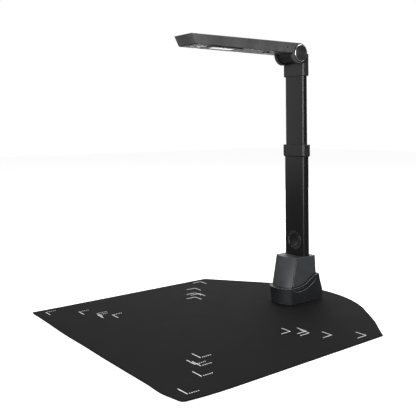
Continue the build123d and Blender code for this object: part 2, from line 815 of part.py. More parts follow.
def arm_point(reach, rise):
    """A point of the arm's side view: reach ahead of the hinge axis, rise above it."""
    return (hinge_y - reach, hinge_z + rise)


def arm_top(reach, drop=0.0):
    """Height of the arm's sloping top above the hinge axis, less drop."""
    return boss_radius + (arm_tip_rise - boss_radius) * reach / arm_reach - drop


def arm_posts():
    """Plan places of the posts that the lower cover's screws go into."""
    return [(side * arm_post_half, hinge_y - reach) for reach in arm_post_reaches for side in (-1, 1)]


def arm_shell():
    """Upper shell: top, sides, slanted tip, hood over the barrel and the two round bosses."""
    side_view = Polyline(
        arm_point(0, -arm_under_drop),
        arm_point(arm_reach - arm_undercut, -arm_under_drop),
        arm_point(arm_reach, arm_tip_rise),
        arm_point(0, boss_radius),
        close=True,
    )
    face = make_face(side_view)
    tip_bottom = face.vertices().sort_by(Axis.X)[1]
    face = fillet(tip_bottom, arm_tip_round)
    outline = face + Pos(hinge_y, hinge_z) * Circle(boss_radius)
    shape = extrude(Plane.YZ * outline, arm_half, both=True)
    rims = [edge for edge in shape.edges() if abs(edge.center().X) > arm_half - seat_gap]
    shape = fillet([edge for edge in rims if edge.center().Z > hinge_z + seat_gap], arm_edge_round)
    inside = arm_half - arm_wall
    shape = shape - along_x(barrel_radius + turn_gap, -cheek_half, cheek_half, hinge_y, hinge_z)
    shape = shape - block((-cheek_half, cheek_half), (hinge_y - cover_rear, -mat_front), (0, under_z))
    shape = shape - block((-cheek_half, cheek_half), (hinge_y, -mat_front), (0, hinge_z + hood_rise))
    room = [
        arm_point(cover_rear - seat_gap, -arm_wall),
        arm_point(arm_reach - arm_undercut - arm_wall - tip_room_low, -arm_wall),
        arm_point(arm_reach + tip_room_high - arm_wall, arm_top(arm_reach, arm_wall)),
        arm_point(cover_rear - seat_gap, arm_top(cover_rear, arm_wall)),
    ]
    shape = shape - side_slab(room, inside)
    slot = (hinge_z + lead_rise_rear - lead_slot_half, hinge_z + lead_rise_rear + lead_slot_half)
    slot_y = (hinge_y - cover_rear - arm_wall, hinge_y - barrel_bore)
    shape = shape - block((-lead_slot_half, lead_slot_half), slot_y, slot)
    for x, y in arm_posts():
        post_top = hinge_z + arm_top(hinge_y - y, arm_wall / 2)
        post = upright(arm_post_radius, x, y, cover_top_z, post_top)
        hole = upright(small_screw_radius + screw_gap, x, y, under_z, cover_top_z + arm_post_hole)
        shape = shape + post - hole
    for side in (-1, 1):
        pocket = sorted((side * (arm_half - cap_pocket_depth), side * 2 * arm_half))
        shape = shape - along_x(cap_pocket_radius, *pocket, hinge_y, hinge_z)
        bore = sorted((side * barrel_half, side * arm_half))
        shape = shape - along_x(hinge_pin_radius + screw_gap, *bore, hinge_y, hinge_z)
    mouth = (inside - arm_wall, 2 * arm_half)
    return shape - along_x(microphone_hole, *mouth, hinge_y - microphone_reach, hinge_z + microphone_rise)


def arm_cover():
    """Lower cover, with openings for the lens, the lamp and the light key."""
    half = arm_half - arm_wall - seat_gap
    front = hinge_y - (arm_reach - arm_undercut - arm_wall - tip_room_low - cover_front_gap)
    shape = block((-half, half), (front, hinge_y - cover_rear), (under_z, cover_top_z))
    shape = shape - upright(lens_hole, 0, lens_y, *full_height)
    led_half = led_window[0] / 2 + led_frame_wall + seat_gap
    led_side = led_window[1] / 2 + led_frame_wall + seat_gap
    shape = shape - block((-led_side, led_side), (led_y - led_half, led_y + led_half), full_height)
    shape = shape - upright(light_key_radius + key_gap, 0, light_key_y, *full_height)
    for side in (-1, 1):
        post_x = side * (light_board_size / 2 - light_post_radius)
        shape = shape + upright(light_post_radius, post_x, light_key_y, cover_top_z, light_board_z)
    for x, y in arm_posts():
        shape = shape - screw_hole(x, y, under_z, cover_screw_room, *small_screw)
    return shape


def arm_screws():
    """Six small screws that hold the lower cover."""
    return Compound(children=[screw(x, y, under_z, arm_screw_length, *small_screw) for x, y in arm_posts()])


def hinge_pins():
    """Two steel stub pins, fixed in the bosses and turning in the barrel."""
    inner = barrel_bore_half + pin_start
    return both_sides(along_x(hinge_pin_radius, inner, arm_half - cap_pocket_depth, hinge_y, hinge_z))


def hinge_ring(side):
    """Bright ring in a boss's pocket, its outer edge bevelled."""
    floor = arm_half - cap_pocket_depth
    ring = along_x(ring_outer, floor, arm_half + ring_proud, hinge_y, hinge_z)
    ring = chamfer(ring.edges().filter_by(GeomType.CIRCLE).sort_by(Axis.X)[-1], ring_bevel)
    ring = ring - along_x(ring_outer - ring_width, 0, 2 * arm_half, hinge_y, hinge_z)
    return ring if side > 0 else mirror(ring, Plane.YZ)


def hinge_cap(side):
    """Dark disc inside the bright ring."""
    floor = arm_half - cap_pocket_depth
    cap = along_x(ring_outer - ring_width - cap_gap, floor, arm_half + cap_proud, hinge_y, hinge_z)
    cap = fillet(cap.edges().filter_by(GeomType.CIRCLE).sort_by(Axis.X)[-1], cap_round)
    return cap if side > 0 else mirror(cap, Plane.YZ)


def camera_board():
    """Circuit board above the camera body."""
    half = camera_board_size / 2
    depth = (lens_y - camera_body / 2 - camera_board_lead, lens_y + camera_body / 2)
    low = hinge_z + camera_lift + camera_body_height
    return block((-half, half), depth, (low, low + board_thickness))


def camera_module():
    """Camera body with its lens barrel pointing down."""
    half = camera_body / 2
    low = hinge_z + camera_lift
    body = block((-half, half), (lens_y - half, lens_y + half), (low, low + camera_body_height))
    barrel = upright(lens_barrel_radius, 0, lens_y, hinge_z + lens_barrel_rise, low)
    return body + barrel


def lens_ring():
    """Silver trim ring in the cover's lens opening, with a stepped bore."""
    face = upright(lens_ring_outer, 0, lens_y, under_z - lens_ring_proud, under_z)
    face = fillet(face.edges().sort_by(Axis.Z)[0], lens_ring_round)
    sleeve = upright(lens_hole - seat_gap, 0, lens_y, under_z, cover_top_z + lens_sleeve_top)
    return face + sleeve - upright(lens_barrel_radius + seat_gap, 0, lens_y, *full_height)


def lens_glass():
    """Front glass: a shallow dome in the lens barrel's mouth."""
    ball = (lens_glass_radius ** 2 + lens_glass_bulge ** 2) / (2 * lens_glass_bulge)
    top = hinge_z + lens_barrel_rise
    disc = upright(lens_glass_radius, 0, lens_y, top - lens_glass_bulge, top)
    return disc & Pos(0, lens_y, top - lens_glass_bulge + ball) * Sphere(ball)


def led_frame():
    """Black frame of the lamp, with a thin flange on the cover's face."""
    long_half = led_window[0] / 2
    short_half = led_window[1] / 2
    low = under_z - led_frame_proud
    rim = led_frame_wall + led_frame_flange
    flange = block((-short_half - rim, short_half + rim), (led_y - long_half - rim, led_y + long_half + rim),
                   (low, under_z))
    wall = led_frame_wall
    body = block((-short_half - wall, short_half + wall), (led_y - long_half - wall, led_y + long_half + wall),
                 (under_z, hinge_z + led_board_lift))
    window = block((-short_half, short_half), (led_y - long_half, led_y + long_half), full_height)
    return flange + body - window


def led_diffuser():
    """White diffuser that fills the lamp's window."""
    long_half = led_window[0] / 2 - screw_gap
    short_half = led_window[1] / 2 - screw_gap
    sides = (led_y - long_half, led_y + long_half)
    return block((-short_half, short_half), sides, (under_z - led_frame_proud / 2, cover_top_z))


def led_board():
    """Lamp's circuit board, on top of the frame."""
    long_half = led_window[0] / 2 + led_frame_wall
    short_half = led_window[1] / 2 + led_frame_wall
    low = hinge_z + led_board_lift
    return block((-short_half, short_half), (led_y - long_half, led_y + long_half), (low, low + board_thickness))


def led_chips():
    """Two rows of light-emitting chips under the lamp's board."""
    pitch = led_window[0] / led_count
    high = hinge_z + led_board_lift
    chips = []
    for index in range(led_count):
        middle = led_y - led_window[0] / 2 + pitch * (index + 0.5)
        length = (middle - led_chip[0] / 2, middle + led_chip[0] / 2)
        for side in (-led_row_half, led_row_half):
            width = (side - led_chip[1] / 2, side + led_chip[1] / 2)
            chips.append(block(width, length, (high - led_chip[2], high)))
    return Compound(children=chips)


def light_key():
    """Small round key under the arm that switches and dims the lamp."""
    key = upright(light_key_radius, 0, light_key_y, under_z - light_key_proud, light_flange_z)
    key = fillet(key.edges().sort_by(Axis.Z)[0], light_key_round)
    return key + upright(light_key_flange_radius, 0, light_key_y, light_flange_z,
                         light_flange_z + light_key_flange)


def light_switch():
    """Circuit board and switch above the light key."""
    half = light_board_size / 2
    board = block((-half, half), (light_key_y - half, light_key_y + half),
                  (light_board_z, light_board_z + board_thickness))
    return board + upright(light_dome_radius, 0, light_key_y, light_dome_z, light_board_z)


def microphone():
    """Capsule behind the small hole in the arm's side."""
    inside = arm_half - arm_wall
    return along_x(microphone_radius, inside - microphone_length, inside, hinge_y - microphone_reach,
                   hinge_z + microphone_rise)


def arm_lead():
    """Lead from the camera back to the slot in front of the barrel."""
    return along_y(lead_radius, lens_y + camera_body / 2, hinge_y - lead_end_reach, 0, hinge_z + lead_rise_rear)


os.makedirs("parts", exist_ok=True)

for make in (
    work_mat, mat_print, base_skirt, base_tower, bottom_plate, base_screws, column_screws, rubber_feet,
    ballast_block, main_board, usb_socket, lower_column, foot_plug, column_collar, friction_ring,
    guide_sleeve, key_bezel, key_switch, base_lead, coiled_lead, capture_key, upper_mast, mast_shoe,
    neck_housing, neck_cover, neck_screws, friction_washers, mast_lead, arm_shell, arm_cover, arm_screws,
    hinge_pins, camera_board, camera_module, lens_ring, lens_glass, led_frame, led_diffuser, led_board,
    led_chips, light_key, light_switch, microphone, arm_lead,
):
    save(make.__name__, make())

for name, side in (("left", -1), ("right", 1)):
    save(f"{name}_hinge_ring", hinge_ring(side))
    save(f"{name}_hinge_cap", hinge_cap(side))
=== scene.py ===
import math

import bpy
import numpy as np
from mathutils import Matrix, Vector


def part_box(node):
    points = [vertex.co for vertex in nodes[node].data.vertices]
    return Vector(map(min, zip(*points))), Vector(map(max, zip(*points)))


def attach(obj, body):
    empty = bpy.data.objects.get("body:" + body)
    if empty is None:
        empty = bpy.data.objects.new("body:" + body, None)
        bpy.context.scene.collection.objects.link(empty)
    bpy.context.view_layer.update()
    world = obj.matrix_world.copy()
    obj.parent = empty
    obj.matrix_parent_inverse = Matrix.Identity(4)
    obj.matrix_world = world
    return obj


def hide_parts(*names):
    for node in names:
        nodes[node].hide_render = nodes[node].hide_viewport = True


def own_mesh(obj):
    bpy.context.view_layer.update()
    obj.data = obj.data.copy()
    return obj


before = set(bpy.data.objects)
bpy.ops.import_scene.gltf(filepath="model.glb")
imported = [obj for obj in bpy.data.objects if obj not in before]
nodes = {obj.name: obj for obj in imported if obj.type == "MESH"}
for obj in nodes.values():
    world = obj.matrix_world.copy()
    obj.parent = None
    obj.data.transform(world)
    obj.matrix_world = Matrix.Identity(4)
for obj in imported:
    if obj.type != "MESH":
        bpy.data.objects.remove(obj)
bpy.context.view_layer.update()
scene = bpy.context.scene


# ---- Camera ----
# A nearly level camera at two thirds of the object's height, on the right of the mat and ahead of
# it. The lens is moved down in its mount, so that the column stays upright in the picture.
camera_place = (0.80465, -0.65646, 0.32042)
camera_turn = 52.38
camera_roll = 0.4
camera_lens = 53.2
camera_shift = -0.1945
camera_sensor = 36.0
camera_near, camera_far = 0.02, 50.0
camera = bpy.data.objects.new("camera", bpy.data.cameras.new("camera"))
camera.data.lens = camera_lens
camera.data.sensor_width = camera_sensor
camera.data.shift_y = camera_shift
camera.data.clip_start = camera_near
camera.data.clip_end = camera_far
camera.location = camera_place
camera.rotation_euler = (math.radians(90), math.radians(camera_roll), math.radians(camera_turn))
scene.collection.objects.link(camera)
scene.camera = camera


# ---- Floor and studio light ----
# A plain white floor that glows a little, so that it is even up to the horizon, and five soft
# boxes: above, behind on the left, in front, behind the camera and on the right. Reflections and
# bounced light see the dim surround in place of the floor.
floor_half = 6.0
floor_z = -0.0002
floor_colour = (0.6, 0.6, 0.6, 1)
floor_roughness = 0.9
floor_glow = 0.88
surround_glow = 0.14
backdrop_glow = 1.0
soft_boxes = (
    ("light_above", (-0.35, 0.75, 1.9), (0, 0.1, 0.2), (1.8, 1.2), 46.0),
    ("light_back", (-1.54, 1.35, 0.6), (0, 0.17, 0.1), (2.0, 1.0), 16.0),
    ("light_front", (-1.9, -1.3, 0.75), (0, 0.1, 0.25), (1.0, 1.5), 4.5),
    ("light_camera", (1.0, -1.5, 0.6), (0, 0.17, 0.25), (1.3, 1.3), 40.0),
    ("light_right", (2.2, 0.15, 0.7), (0, 0.1, 0.3), (0.8, 0.8), 22.0),
)
floor_mesh = bpy.data.meshes.new("floor")
floor_corners = [(x * floor_half, y * floor_half, floor_z)
                 for x, y in ((-1, -1), (1, -1), (1, 1), (-1, 1))]
floor_mesh.from_pydata(floor_corners, [], [(0, 1, 2, 3)])
floor = bpy.data.objects.new("floor", floor_mesh)
floor.visible_glossy = False
floor.visible_diffuse = False
scene.collection.objects.link(floor)
floor_paint = bpy.data.materials.new("floor_paint")
floor_paint.use_nodes = True
floor_shader = floor_paint.node_tree.nodes["Principled BSDF"]
floor_shader.inputs["Base Color"].default_value = floor_colour
floor_shader.inputs["Roughness"].default_value = floor_roughness
floor_shader.inputs["Specular IOR Level"].default_value = 0.0
floor_shader.inputs["Emission Color"].default_value = (1, 1, 1, 1)
floor_shader.inputs["Emission Strength"].default_value = floor_glow
floor_mesh.materials.append(floor_paint)

for name, place, target, size, power in soft_boxes:
    lamp = bpy.data.lights.new(name, "AREA")
    lamp.shape = "RECTANGLE"
    lamp.size, lamp.size_y = size
    lamp.energy = power
    holder = bpy.data.objects.new(name, lamp)
    holder.location = place
    aim = holder.location - type(holder.location)(target)
    holder.visible_camera = False
    holder.rotation_euler = aim.to_track_quat("Z", "Y").to_euler()
    scene.collection.objects.link(holder)

world = bpy.data.worlds.new("studio")
scene.world = world
world.use_nodes = True
tree = world.node_tree
tree.nodes.clear()
sky_out = tree.nodes.new("ShaderNodeOutputWorld")
sky_mix = tree.nodes.new("ShaderNodeMixShader")
sky_ray = tree.nodes.new("ShaderNodeLightPath")
for socket, strength in ((1, surround_glow), (2, backdrop_glow)):
    sky = tree.nodes.new("ShaderNodeBackground")
    sky.inputs["Color"].default_value = (1, 1, 1, 1)
    sky.inputs["Strength"].default_value = strength
    tree.links.new(sky.outputs[0], sky_mix.inputs[socket])
tree.links.new(sky_ray.outputs["Is Camera Ray"], sky_mix.inputs[0])
tree.links.new(sky_mix.outputs[0], sky_out.inputs[0])
scene.view_settings.view_transform = "Standard"


# ---- Work mat ----
# A black sheet, two millimetres thick, with straight sides and a back edge that runs in two slants
# to a round middle. It is not quite flat or square: its front edge has crept forward in a shallow
# bow, its right side leans out at the back, and its front right corner lifts a little.
mat_low, mat_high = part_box("work_mat")
mat_half = mat_high.x
mat_front = mat_low.y
mat_back = mat_high.y
mat_thickness = mat_high.z
mat_side = 0.375
mat_side_y = mat_front + mat_side
mat_knee_share = (0.515, 0.68)
mat_knee = np.array([mat_knee_share[0] * mat_half,
                     mat_side_y + mat_knee_share[1] * (mat_back - mat_side_y)])
mat_sag = mat_back - mat_knee[1]
mat_bend = (mat_knee[0] ** 2 + mat_sag ** 2) / (2 * mat_sag)
mat_swing = math.asin(mat_knee[0] / mat_bend)
mat_edge = mat_thickness / 2
mat_rings = 60
mat_edge_rings = 7
mat_centre = (0.0, -0.03)
mat_fillets = (0.0016, 0.007, 0.004, 0, 0, 0.004)
mat_fillet_points = 11
mat_run_points = (110, 80, 40, 0, 40, 80)
mat_arc_points = 90
lift_height = 0.0028
lift_depth = 0.085
lift_start = 0.125
lift_width = 0.1
wave_height = 0.0005
wave_rate = 38.0
wave_start = 0.21
wave_end = 0.05
wave_end_ease = 0.1
wave_edge = 0.225
wave_edge_ease = 0.02
wave_fade = 0.03
creep_depth = 0.06
creep_ahead = 0.0036
creep_power = 0.7
bump_ahead = 0.003
bump_place = 0.186
bump_width = 0.024
lean_aside = 0.010
lean_run = 0.055


def mat_lift(x, y):
    """How far the mat rises off the table: the square of the nearness to the front right corner,
    and a sine wave, raised by one, along the left part of the front edge. The wave fades as the
    exponential of the distance from the edge."""
    ahead = np.clip((mat_front + lift_depth - y) / lift_depth, 0, 1)
    right = np.clip((x - lift_start) / lift_width, 0, 1)
    wave = np.sin((x + wave_start) * wave_rate)
    wave = wave * np.clip((wave_end - x) / wave_end_ease, 0, 1)
    wave = wave * np.clip((x + wave_edge) / wave_edge_ease, 0, 1)
    fade = np.exp(-(y - mat_front) / wave_fade)
    return lift_height * ahead ** 2 * right ** 2 + wave_height * (wave + 1) * fade


def mat_creep(x, y):
    """How far the mat has crept: forward by half a sine wave along the front edge, raised to a
    power, with a bell-shaped bump near its right end, both fading as the square of the nearness
    to the edge. Behind its right side it has crept to the right, by a share that grows evenly
    from the left side to the right one and smoothly (3 s^2 - 2 s^3) over the run."""
    along = np.clip((x + mat_half) / (2 * mat_half), 0, 1)
    near = np.clip((mat_front + creep_depth - y) / creep_depth, 0, 1) ** 2
    bump = bump_ahead * np.exp(-((x - bump_place) / bump_width) ** 2)
    ahead = near * (creep_ahead * np.sin(math.pi * along) ** creep_power + bump)
    behind = np.clip((y - mat_side_y) / lean_run, 0, 1)
    return ahead, lean_aside * along * behind ** 2 * (3 - 2 * behind)


def mat_outline(inset):
    """Closed outline: five straight runs, an arc at the back and a curved fillet at each corner,
    sampled evenly, and then moved inwards by inset along the normal of the line through its
    neighbours."""
    corners = np.array([[-mat_half, mat_front], [mat_half, mat_front], [mat_half, mat_side_y],
                        mat_knee, mat_knee * (-1, 1), [-mat_half, mat_side_y]])
    befores = np.roll(corners, 1, 0)
    afters = np.roll(corners, -1, 0)
    starts, ends, bends = [], [], []
    for before, corner, after, fillet in zip(befores, corners, afters, mat_fillets):
        inwards = (before - corner) / np.linalg.norm(before - corner)
        onwards = (after - corner) / np.linalg.norm(after - corner)
        share = np.linspace(0, 1, mat_fillet_points if fillet else 1)[:, None]
        bends.append(corner + fillet * (inwards * (1 - share) ** 2 + onwards * share ** 2))
        starts.append(bends[-1][-1])
        ends.append(bends[-1][0])
    sweep = np.linspace(mat_swing, -mat_swing, mat_arc_points + 2)[1:-1]
    arc = np.stack([mat_bend * np.sin(sweep), mat_back - mat_bend + mat_bend * np.cos(sweep)], 1)
    runs = []
    for number, count in enumerate(mat_run_points):
        share = np.linspace(0, 1, count + 2)[1:-1, None]
        straight = starts[number] + (ends[(number + 1) % len(corners)] - starts[number]) * share
        runs += [bends[number], straight if count else arc]
    line = np.concatenate(runs)
    tangent = np.roll(line, -1, 0) - np.roll(line, 1, 0)
    normal = tangent[:, ::-1] * (-1, 1) / np.linalg.norm(tangent, axis=1)[:, None]
    return line + inset * normal


def mat_grid():
    """Outline scaled towards the middle for the two faces, and a half circle carried round it as
    the edge: inset r - r cos a, height r + r sin a."""
    rim = mat_outline(mat_edge)
    centre = np.array(mat_centre)
    share = np.linspace(0.0, 1.0, mat_rings + 1)[1:]
    top = centre + share[:, None, None] * (rim - centre)
    tilt = np.linspace(math.pi / 2, -math.pi / 2, mat_edge_rings + 2)[1:-1]
    edge = np.stack([mat_outline(mat_edge - mat_edge * math.cos(a)) for a in tilt])
    flat = np.concatenate([top, edge, top[::-1]])
    height = np.concatenate([
        np.full(mat_rings, mat_thickness), mat_edge + mat_edge * np.sin(tilt), np.zeros(mat_rings)])
    lift = mat_lift(flat[..., 0], flat[..., 1])
    ahead, aside = mat_creep(flat[..., 0], flat[..., 1])
    return np.stack([flat[..., 0] + aside, flat[..., 1] - ahead, height[:, None] + lift], 2)


def surface(name, grids, material, body, crease=35.0):
    """Mesh of closed skins. Each grid is rings of points, rings wrap round, and the first and
    last ring close on their own middle point. A skin whose signed volume is negative is turned
    outwards."""
    points, faces, start = [], [], 0
    for grid in grids:
        rings, around = grid.shape[:2]
        index = np.arange(rings * around).reshape(rings, around)
        after = np.roll(index, -1, 1)
        quads = np.stack([index[:-1], after[:-1], after[1:], index[1:]], -1).reshape(-1, 4)
        poles = np.stack([grid[0].mean(0), grid[-1].mean(0)])
        first = np.stack([after[0], index[0], np.full(around, rings * around)], -1)
        last = np.stack([index[-1], after[-1], np.full(around, rings * around + 1)], -1)
        skin = np.concatenate([grid.reshape(-1, 3), poles])
        corners = np.concatenate([quads[:, :3], quads[:, [0, 2, 3]], first, last])
        a, b, c = (skin[corners[:, i]] - poles[0] for i in range(3))
        if (a * np.cross(b, c)).sum() < 0:
            quads, first, last = quads[:, ::-1], first[:, ::-1], last[:, ::-1]
        points.append(skin)
        for part in (quads, first, last):
            faces += (part + start).tolist()
        start += len(skin)
    mesh = bpy.data.meshes.new(name)
    mesh.from_pydata(np.concatenate(points).tolist(), [], faces)
    mesh.shade_smooth()
    mesh.set_sharp_from_angle(angle=math.radians(crease))
    mesh.materials.append(material)
    piece = bpy.data.objects.new(name, mesh)
    scene.collection.objects.link(piece)
    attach(piece, body)
    return piece


def finish(name, colour, roughness, grain=900.0, relief=0.00004, mottle=0.25, edge=0.0003,
           edge_highlight=0.0, highlight_tone=(0.3, 0.3, 0.31), stretch=(1, 1, 1), crease_shade_reach=0.0, **sockets):
    """Solid material: fine noise as relief, a wide noise that varies the colour and the roughness
    at random by mottle, softened edges of radius edge, a painted highlight of tone bright laid
    along them by wear, and a painted shade, near black, in creases no wider than crevice."""
    wide_grain = 22.0
    fine_detail, wide_detail = 3.0, 4.0
    shade_start, shade_end = 0.12, 0.42
    open_start, open_end = 0.68, 0.94
    # Range of the painted highlight along the softened edges.
    highlight_start, highlight_end = 0.995, 0.8
    # Colour of the painted shade in creases and recesses.
    painted_shade_colour = (0.002, 0.002, 0.002)
    rough_low, rough_high = 0.85, 1.15
    rough_least = 0.02
    material = bpy.data.materials.new(name)
    material.use_nodes = True
    add, join = material.node_tree.nodes.new, material.node_tree.links.new
    shader = material.node_tree.nodes["Principled BSDF"]
    where = add("ShaderNodeTexCoord")
    turn = add("ShaderNodeMapping")
    turn.inputs["Scale"].default_value = stretch
    join(where.outputs["Object"], turn.inputs["Vector"])

    def noise(scale, detail):
        node = add("ShaderNodeTexNoise")
        node.inputs["Scale"].default_value = scale
        node.inputs["Detail"].default_value = detail
        join(turn.outputs[0], node.inputs["Vector"])
        return node.outputs[0]

    def remap(value, start, end, least=0.0, most=1.0):
        node = add("ShaderNodeMapRange")
        node.inputs["From Min"].default_value = start
        node.inputs["From Max"].default_value = end
        node.inputs["To Min"].default_value = least
        node.inputs["To Max"].default_value = most
        join(value, node.inputs["Value"])
        return node.outputs[0]

    def product(one, other):
        node = add("ShaderNodeMath")
        node.operation = "MULTIPLY"
        join(one, node.inputs[0])
        join(other, node.inputs[1])
        return node.outputs[0]

    def blend(share, first, second):
        node = add("ShaderNodeMix")
        node.data_type = "RGBA"
        join(share, node.inputs["Factor"])
        for socket, tone in (("A", first), ("B", second)):
            if isinstance(tone, tuple):
                node.inputs[socket].default_value = (*tone, 1)
            else:
                join(tone, node.inputs[socket])
        return node.outputs["Result"]

    fine = noise(grain, fine_detail)
    wide = noise(wide_grain, wide_detail)
    soft = add("ShaderNodeBevel")
    soft.samples = 4
    soft.inputs["Radius"].default_value = edge
    bump = add("ShaderNodeBump")
    bump.inputs["Distance"].default_value = relief
    bump.inputs["Strength"].default_value = 1.0
    join(fine, bump.inputs["Height"])
    join(soft.outputs[0], bump.inputs["Normal"])
    join(bump.outputs[0], shader.inputs["Normal"])
    dark = tuple(c * (1 - mottle) for c in colour)
    light = tuple(min(1.0, c * (1 + mottle)) for c in colour)
    paint = blend(remap(product(fine, wide), shade_start, shade_end), dark, light)
    # Painted shade: ambient occlusion darkens the paint towards near black in creases and recesses,
    # where shade falls.
    if crease_shade_reach:
        crease_shade = add("ShaderNodeAmbientOcclusion")
        crease_shade.samples = 8
        crease_shade.inputs["Distance"].default_value = crease_shade_reach
        unshaded = remap(crease_shade.outputs["AO"], open_start, open_end)
    # Painted highlight: a lighter tone laid along the softened edges and kept out of the shaded
    # creases.
    if edge_highlight:
        here = add("ShaderNodeNewGeometry")
        turned = add("ShaderNodeVectorMath")
        turned.operation = "DOT_PRODUCT"
        join(here.outputs["Normal"], turned.inputs[0])
        join(soft.outputs[0], turned.inputs[1])
        highlight_mask = remap(turned.outputs["Value"], highlight_start, highlight_end, most=edge_highlight)
        if crease_shade_reach:
            highlight_mask = product(highlight_mask, unshaded)
        paint = blend(highlight_mask, paint, highlight_tone)
    if crease_shade_reach:
        paint = blend(unshaded, painted_shade_colour, paint)
    join(paint, shader.inputs["Base Color"])
    rough = remap(wide, 0.0, 1.0, max(rough_least, roughness * rough_low),
                  min(1.0, roughness * rough_high))
    join(rough, shader.inputs["Roughness"])
    for socket, value in sockets.items():
        shader.inputs[socket.replace("_", " ")].default_value = value
    return material


def dress(material, *names):
    """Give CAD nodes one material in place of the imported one."""
    for name in names:
        slots = nodes[name].data.materials
        slots.clear()
        slots.append(material)


mat_skin = finish("mat_calendered", (0.007, 0.007, 0.0073), 0.9, grain=1500, relief=0.00006,
                  mottle=0.3, edge=0.0002, Specular_IOR_Level=0.08)
mat_piece = surface("mat_sheet", [mat_grid()], mat_skin, "stand", crease=60)
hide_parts("work_mat")
mat_area = 2 * mat_half * (mat_side_y - mat_front)
mat_area += (mat_half + mat_knee[0]) * (mat_knee[1] - mat_side_y)
mat_area += mat_bend ** 2 * mat_swing - mat_knee[0] * (mat_bend - mat_sag)


# ---- Printed corner marks ----
# Light grey ink, screen printed: the corners of the whole field and of four paper sizes.
# Each has a solid arm across; the other arm is a row of dots in front and solid at the back.
ink_thickness = 0.00012
ink_width = 0.0012
ink_dot_radius = 0.0009
ink_arm = 0.020
ink_dots = 5
ink_sink = 0.00002
strip_stations = 9
dot_points = 16
dot_top = 0.9
dot_shoulder = 0.7
field_width, field_depth, field_margin = 0.420, 0.336, 0.0175
field_middle = mat_front + field_margin + field_depth / 2
paper_middle = mat_front + 0.189
marked_sizes = (
    (field_width, field_depth, field_middle),
    (0.353, 0.250, paper_middle),
    (0.297, 0.210, paper_middle),
    (0.2794, 0.2159, paper_middle),
    (0.250, 0.176, paper_middle),
)


def ink_strip(x, y, length, across):
    """Closed flat bar: a rectangle carried along a straight run of stations, on the mat's lifted
    face."""
    run = np.linspace(0, length, strip_stations)
    side = np.array([0, 1, 1, 0]) * ink_width * (1 if across[1] > 0 else -1)
    deep = np.array([0, 0, 1, 1]) * ink_thickness
    if across[0]:
        px = x + run[:, None] * across[0] + 0 * side
        py = y + side + 0 * run[:, None]
    else:
        px = x + np.abs(side) * across[2] + 0 * run[:, None]
        py = y + run[:, None] * across[1] + 0 * side
    return np.stack([px, py, mat_thickness - ink_sink + mat_lift(px, py) + deep], -1)


def ink_dot(x, y):
    """Low round dot: three rings of a disc's profile, on the mat's lifted face."""
    turn = np.linspace(0, 2 * math.pi, dot_points + 1)[:-1]
    radius = np.array([1, 1, dot_top])[:, None] * ink_dot_radius
    height = np.array([-ink_sink, ink_thickness * dot_shoulder, ink_thickness])[:, None]
    px = x + radius * np.cos(turn)
    py = y + radius * np.sin(turn)
    return np.stack([px, py, mat_thickness + mat_lift(px, py) + height], -1)


mark_grids = []
for mark_width, mark_depth, middle in marked_sizes:
    for side in (-1, 1):
        for end in (-1, 1):
            corner_x = side * mark_width / 2
            corner_y = middle + end * mark_depth / 2
            mark_grids.append(ink_strip(corner_x, corner_y, ink_arm, (-side, -end)))
            if end > 0:
                mark_grids.append(ink_strip(corner_x, corner_y, ink_arm, (0, -end, -side)))
            else:
                step = ink_arm / (ink_dots + 1)
                dot_x = corner_x - side * ink_width / 2
                mark_grids += [ink_dot(dot_x, corner_y + ink_width + step * k)
                               for k in range(1, ink_dots + 1)]
ink = finish("mark_ink", (0.72, 0.72, 0.72), 0.6, grain=2500, relief=0.00001, mottle=0.2,
             edge=0.00003)
mark_piece = surface("mat_marks", mark_grids, ink, "stand", crease=30)
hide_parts("mat_print")


# ---- Base casings ----
# Two moulded shells of black plastic with a fine spark grain: the skirt with its swept lip and
# groove, and the tapered tower that stands in it. A painted highlight runs along their moulded
# edges, and a painted shade darkens their creases.
casing = finish("base_casing", (0.038, 0.042, 0.046), 0.52, grain=700, relief=0.00012,
                mottle=0.45, edge=0.0006, edge_highlight=0.85, highlight_tone=(0.45, 0.47, 0.49), crease_shade_reach=0.003,
                Specular_IOR_Level=0.4)
dress(casing, "base_tower")
skirt_casing = finish("skirt_casing", (0.011, 0.012, 0.014), 0.5, grain=700, relief=0.00012,
                      mottle=0.45, edge=0.0008, edge_highlight=0.95, highlight_tone=(0.5, 0.52, 0.54),
                      crease_shade_reach=0.001, Specular_IOR_Level=0.35)
dress(skirt_casing, "base_skirt")
plate_plastic = finish("plate_plastic", (0.025, 0.025, 0.026), 0.55, grain=1100, relief=0.00006)
dress(plate_plastic, "bottom_plate", "foot_plug")
foot_rubber = finish("foot_rubber", (0.02, 0.02, 0.02), 0.85, grain=1800, relief=0.00008)
dress(foot_rubber, "rubber_feet")
plated = finish("plated_steel", (0.55, 0.55, 0.57), 0.32, grain=2200, relief=0.00001, mottle=0.1,
                Metallic=1.0)
dress(plated, "base_screws", "column_screws", "arm_screws", "neck_screws", "friction_washers",
      "hinge_pins", "usb_socket", "microphone")
rough_steel = finish("ballast_steel", (0.2, 0.2, 0.21), 0.6, grain=500, relief=0.0002,
                     mottle=0.35, Metallic=1.0)
dress(rough_steel, "ballast_block")
board_mask = finish("board_mask", (0.02, 0.11, 0.06), 0.35, grain=1200, relief=0.00003,
                    mottle=0.2)
dress(board_mask, "main_board", "key_switch", "camera_board", "led_board", "light_switch")


# ---- Column ----
# Two flat extruded tubes of one satin black finish, with softened corners and edges.
# The moulded collar grips the upper one; felt and nylon inside it make the sliding fit.
tube = finish("tube_black", (0.006, 0.006, 0.0063), 0.24, grain=700, relief=0.00001, mottle=0.2,
              edge=0.0004, stretch=(1, 1, 0.05), Specular_IOR_Level=0.4)
dress(tube, "lower_column", "upper_mast")
